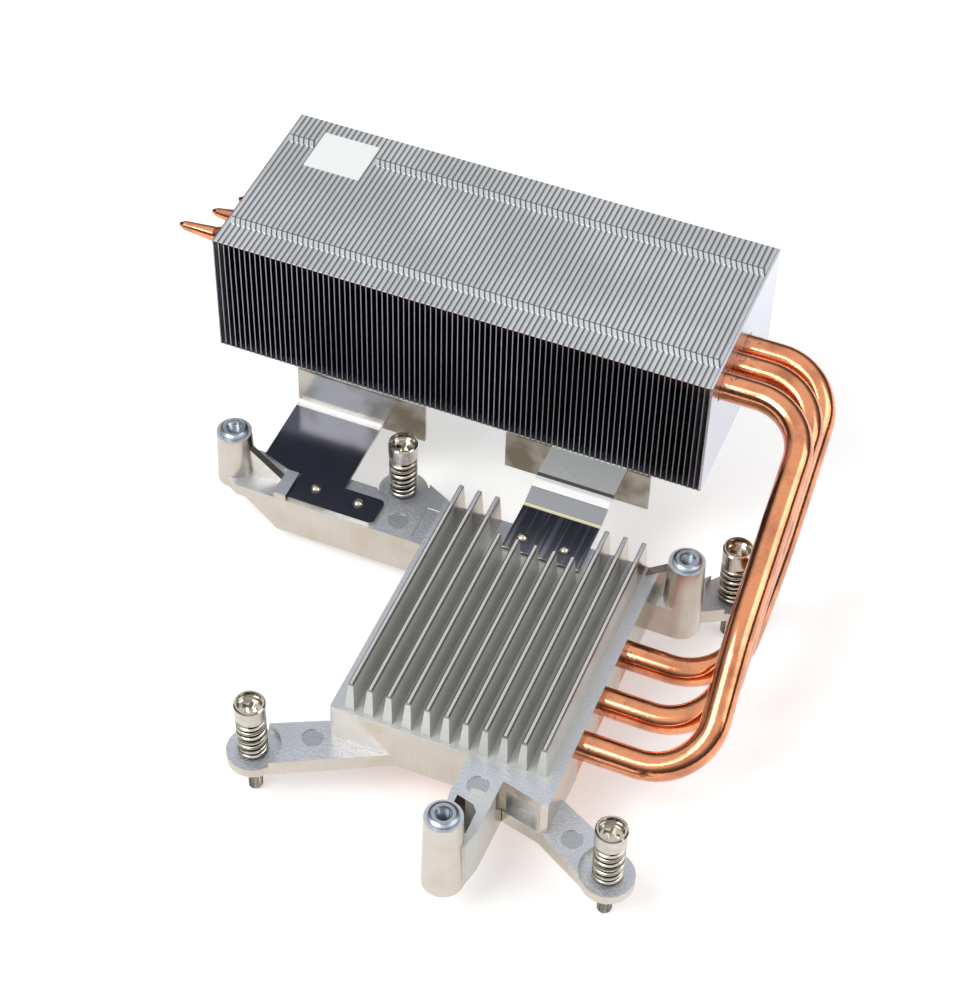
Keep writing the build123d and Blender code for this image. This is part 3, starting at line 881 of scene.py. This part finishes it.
class HEATSINK_OT_brackets(bpy.types.Operator):
    """Bright sheet brackets and their rivets"""
    bl_idname = "heatsink.brackets"
    bl_label = "Brackets"

    def execute(self, context):
        bright = bright_sheet()
        rivet = nickel("rivet_steel", 0.12)
        for side in ("left", "right"):
            dress(side + "_bracket", bright)
            dress(side + "_bracket_rivets", rivet)
        dress("right_support", bright)
        return {"FINISHED"}


class HEATSINK_OT_label(bpy.types.Operator):
    """Blank label"""
    bl_idname = "heatsink.label"
    bl_label = "Label"

    def execute(self, context):
        dress("label", paper())
        return {"FINISHED"}


class HEATSINK_OT_inserts(bpy.types.Operator):
    """Threaded inserts in the posts"""
    bl_idname = "heatsink.inserts"
    bl_label = "Inserts"

    def execute(self, context):
        steel = zinc()
        for post in insert_posts:
            self.node = "threaded_insert_" + post
            insert = piece("insert_" + post, self.insert, steel)
            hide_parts(self.node)
        return {"FINISHED"}

    def insert(self, shape):
        """Stepped collar, chamfered mouth and threaded bore."""
        sizes = settings().insert
        screw = settings().screw
        low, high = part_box(self.node)
        collar = (high.x - low.x) / 2
        foot = high.z - sizes.flange
        mouth_depth = 0.4 * mm
        outside = [(sizes.body / 2, low.z), (sizes.body / 2, foot), (collar, foot),
                   (collar, high.z - 2 * sizes.edge), (collar - sizes.step, high.z - sizes.edge),
                   (collar - sizes.step - sizes.edge, high.z), (sizes.mouth / 2, high.z)]
        bore = thread_levels(sizes.bore / 2, -screw.thread_depth, screw.pitch, low.z, high.z - mouth_depth)
        rings = turned(shape, middle_of(self.node), outside + bore[::-1])
        bridge(shape, rings[-1], rings[0])


class HEATSINK_OT_screws(bpy.types.Operator):
    """Captive screws and their rings"""
    bl_idname = "heatsink.screws"
    bl_label = "Screws"

    def execute(self, context):
        sleeve_low, sleeve_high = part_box("spring_" + screw_corners[0])
        bright = nickel("screw_nickel", 0.08, sleeve_low.z, sleeve_high.z)
        clip = nickel("ring_steel", 0.22)
        for corner in screw_corners:
            self.corner = corner
            name = "screw_" + corner
            screw = piece(name, self.screw, bright, body=name)
            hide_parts("captive_screw_" + corner)
            dress("retaining_ring_" + corner, clip)
        return {"FINISHED"}

    def screw(self, shape):
        """Threaded end, grooved shank and cup head with a cross recess."""
        sizes = settings().screw
        low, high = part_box("captive_screw_" + self.corner)
        ring_low, ring_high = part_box("retaining_ring_" + self.corner)
        head_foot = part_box("spring_" + self.corner)[1].z
        chamfer = sizes.thread / 6
        shank = sizes.shank / 2
        head = (high.x - low.x) / 2
        cup = head - sizes.cup_wall
        floor = high.z - sizes.cup_depth
        groove_gap = 0.05 * mm
        groove_low = ring_low.z - groove_gap
        groove_high = ring_high.z + groove_gap
        thread_top = low.z + sizes.thread_length
        edge = sizes.edge
        head_steps = 64
        levels = [(sizes.thread / 2 - chamfer, low.z)]
        levels += thread_levels(sizes.thread / 2, sizes.thread_depth, sizes.pitch, low.z + chamfer,
                                thread_top)
        levels += [(shank, thread_top), (shank, groove_low), (sizes.groove / 2, groove_low),
                   (sizes.groove / 2, groove_high), (shank, groove_high), (shank, head_foot),
                   (head - edge, head_foot), (head, head_foot + edge), (head, high.z - edge),
                   (head - edge, high.z), (cup + edge / 2, high.z), (cup, high.z - edge),
                   (cup, floor + edge), (cup - edge, floor), (self.cross, floor),
                   (self.cross, floor - sizes.drive_depth)]
        rings = turned(shape, middle_of("captive_screw_" + self.corner), levels, head_steps)
        shape.faces.new(rings[0])
        shape.faces.new(rings[-1])

    def cross(self, angle):
        """Radius of the cross recess at an angle."""
        sizes = settings().screw
        quarter = angle % (math.pi / 2)
        lean = min(quarter, math.pi / 2 - quarter)
        reach = sizes.drive_length / 2 / math.cos(lean)
        return min(reach, sizes.drive_width / 2 / max(math.sin(lean), 0.01))


class HEATSINK_OT_springs(bpy.types.Operator):
    """Coil springs under the screw heads"""
    bl_idname = "heatsink.springs"
    bl_label = "Springs"

    def execute(self, context):
        steel = nickel("spring_steel", 0.20)
        for corner in screw_corners:
            self.corner = corner
            coil = piece("coil_spring_" + corner, self.coil, steel)
            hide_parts("spring_" + corner)
            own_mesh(coil)
        return {"FINISHED"}

    def coil(self, shape):
        spring = settings().spring
        low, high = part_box("spring_" + self.corner)
        middle = middle_of("spring_" + self.corner)
        radius = (high.x - low.x) / 2 - spring.wire / 2
        half_wire = spring.wire / 2
        bottom = low.z + half_wire
        top = high.z - half_wire
        per_turn = 28
        wire_steps = 10
        count = int(spring.turns * per_turn)
        points = []
        for index in range(count + 1):
            turn = spring.turns * index / count
            points.append(Vector((middle.x + radius * math.cos(2 * math.pi * turn),
                                  middle.y + radius * math.sin(2 * math.pi * turn),
                                  bottom + (top - bottom) * self.rise(turn, spring.turns))))
        tube_along(shape, points, half_wire, wire_steps)

    def rise(self, turn, turns):
        """Share of the height at a turn, with one flat turn at each end."""
        wire_share = 0.075
        if turn < 1:
            return wire_share * turn
        if turn > turns - 1:
            return 1 - wire_share * (turns - turn)
        return wire_share + (1 - 2 * wire_share) * (turn - 1) / (turns - 2)


class HEATSINK_OT_stage(bpy.types.Operator):
    """Floor, lamps and camera"""
    bl_idname = "heatsink.stage"
    bl_label = "Stage"

    def execute(self, context):
        self.add_floor()
        self.add_sky(context.scene)
        stage = settings().stage
        self.add_lamp("key_lamp", stage.key_place, stage.key)
        self.add_lamp("fill_lamp", stage.fill_place, stage.fill)
        self.add_camera(context.scene)
        context.scene.view_settings.view_transform = "Standard"
        return {"FINISHED"}

    def add_floor(self):
        floor = bpy.data.meshes.new("floor")
        reach = 3.0
        gap = 0.02 * mm
        height = cad_low.z - gap
        corners = [(x * reach, y * reach, height) for x, y in ((-1, -1), (1, -1), (1, 1), (-1, 1))]
        floor.from_pydata(corners, [], [(0, 1, 2, 3)])
        made = bpy.data.objects.new("floor", floor)
        bpy.context.scene.collection.objects.link(made)
        floor.materials.append(self.floor_finish())

    def floor_finish(self):
        """White floor that keeps the shadow, and glows more far away, where no lamp reaches."""
        finish = Finish("floor_white", Roughness=0.9)
        finish.set("Base Color", opaque(settings().stage.floor))
        rays = [finish.node("ShaderNodeLightPath", output=name)
                for name in ("Is Camera Ray", "Is Glossy Ray", "Is Transmission Ray")]
        seen = finish.largest(finish.largest(rays[0], rays[1]), rays[2])
        place = finish.place()
        reach = finish.node("ShaderNodeVectorMath", {"operation": "LENGTH"}, {0: place}, output="Value")
        far = finish.ramp(reach, (near_reach, 0.0), (far_reach, 1.0))
        glows = [finish.node("ShaderNodeEmission", values={"Color": opaque(white), "Strength": strength})
                 for strength in (near_glow, far_glow)]
        glow = finish.node("ShaderNodeMixShader", values={0: far, 1: glows[0], 2: glows[1]})
        plain = Wire(finish, finish.shader.outputs[0])
        both = finish.node("ShaderNodeAddShader", values={0: plain, 1: glow})
        mixed = finish.node("ShaderNodeMixShader", values={0: seen, 1: plain, 2: both})
        finish.feed(finish.tree.nodes["Material Output"].inputs["Surface"], mixed)
        return finish.material

    def add_sky(self, scene):
        """White to the camera. Metal sees white overhead and a darker room at eye level."""
        stage = settings().stage
        world = bpy.data.worlds.new("studio")
        scene.world = world
        world.use_nodes = True
        sky = Nodes(world.node_tree)
        backdrop = world.node_tree.nodes["Background"]
        height = sky.axis(sky.node("ShaderNodeTexCoord", output="Generated"), "Z")
        room = sky.ramp(height, (0.0, stage.horizon), (0.30, stage.horizon), (0.55, 0.40), (0.70, 1.0))
        seen = sky.node("ShaderNodeLightPath", output="Is Camera Ray")
        mirrored = sky.largest(sky.node("ShaderNodeLightPath", output="Is Glossy Ray"),
                               sky.node("ShaderNodeLightPath", output="Is Transmission Ray"))
        others = 1.0 - sky.largest(seen, mirrored)
        sky.feed(backdrop.inputs["Strength"], seen + mirrored * room + others * stage.sky)
        sky.feed(backdrop.inputs["Color"], opaque(white))

    def add_lamp(self, name, place, power):
        lamp = bpy.data.lights.new(name, "AREA")
        lamp.size = settings().stage.lamp_size
        lamp.energy = power
        made = bpy.data.objects.new(name, lamp)
        made.location = place
        made.rotation_euler = (-Vector(place)).to_track_quat("-Z", "Y").to_euler()
        bpy.context.scene.collection.objects.link(made)

    def add_camera(self, scene):
        stage = settings().stage
        lens = bpy.data.cameras.new("camera")
        lens.lens = stage.lens
        lens.shift_x = stage.shift_x
        lens.shift_y = stage.shift_y
        lens.clip_start = 10 * mm
        made = bpy.data.objects.new("camera", lens)
        around = Matrix.Rotation(stage.azimuth, 4, "Z")
        down = Matrix.Rotation(math.pi / 2 - stage.elevation, 4, "X")
        roll = Matrix.Rotation(stage.roll, 4, "Z")
        made.matrix_world = Matrix.Translation(stage.place) @ around @ down @ roll
        scene.collection.objects.link(made)
        scene.camera = made


class HEATSINK_PT_sidebar(bpy.types.Panel):
    bl_idname = "HEATSINK_PT_sidebar"
    bl_label = "Heatsink"
    bl_space_type = "VIEW_3D"
    bl_region_type = "UI"
    bl_category = "Heatsink"

    def draw(self, context):
        for step in steps:
            self.layout.operator(step.bl_idname)


groups = (FinBlockSettings, SpringSettings, ScrewSettings, InsertSettings, FinishSettings, StageSettings,
          HeatsinkSettings)
steps = (HEATSINK_OT_base, HEATSINK_OT_heat_pipes, HEATSINK_OT_fin_block, HEATSINK_OT_brackets,
         HEATSINK_OT_label, HEATSINK_OT_inserts, HEATSINK_OT_screws, HEATSINK_OT_springs, HEATSINK_OT_stage)


def register():
    for known in (*groups, *steps, HEATSINK_PT_sidebar):
        bpy.utils.register_class(known)
    bpy.types.Scene.heatsink = PointerProperty(type=HeatsinkSettings)


def unregister():
    del bpy.types.Scene.heatsink
    for known in reversed((*groups, *steps, HEATSINK_PT_sidebar)):
        bpy.utils.unregister_class(known)


def main():
    register()
    for step in steps:
        group, name = step.bl_idname.split(".")
        getattr(getattr(bpy.ops, group), name)()


if __name__ == "__main__":
    main()
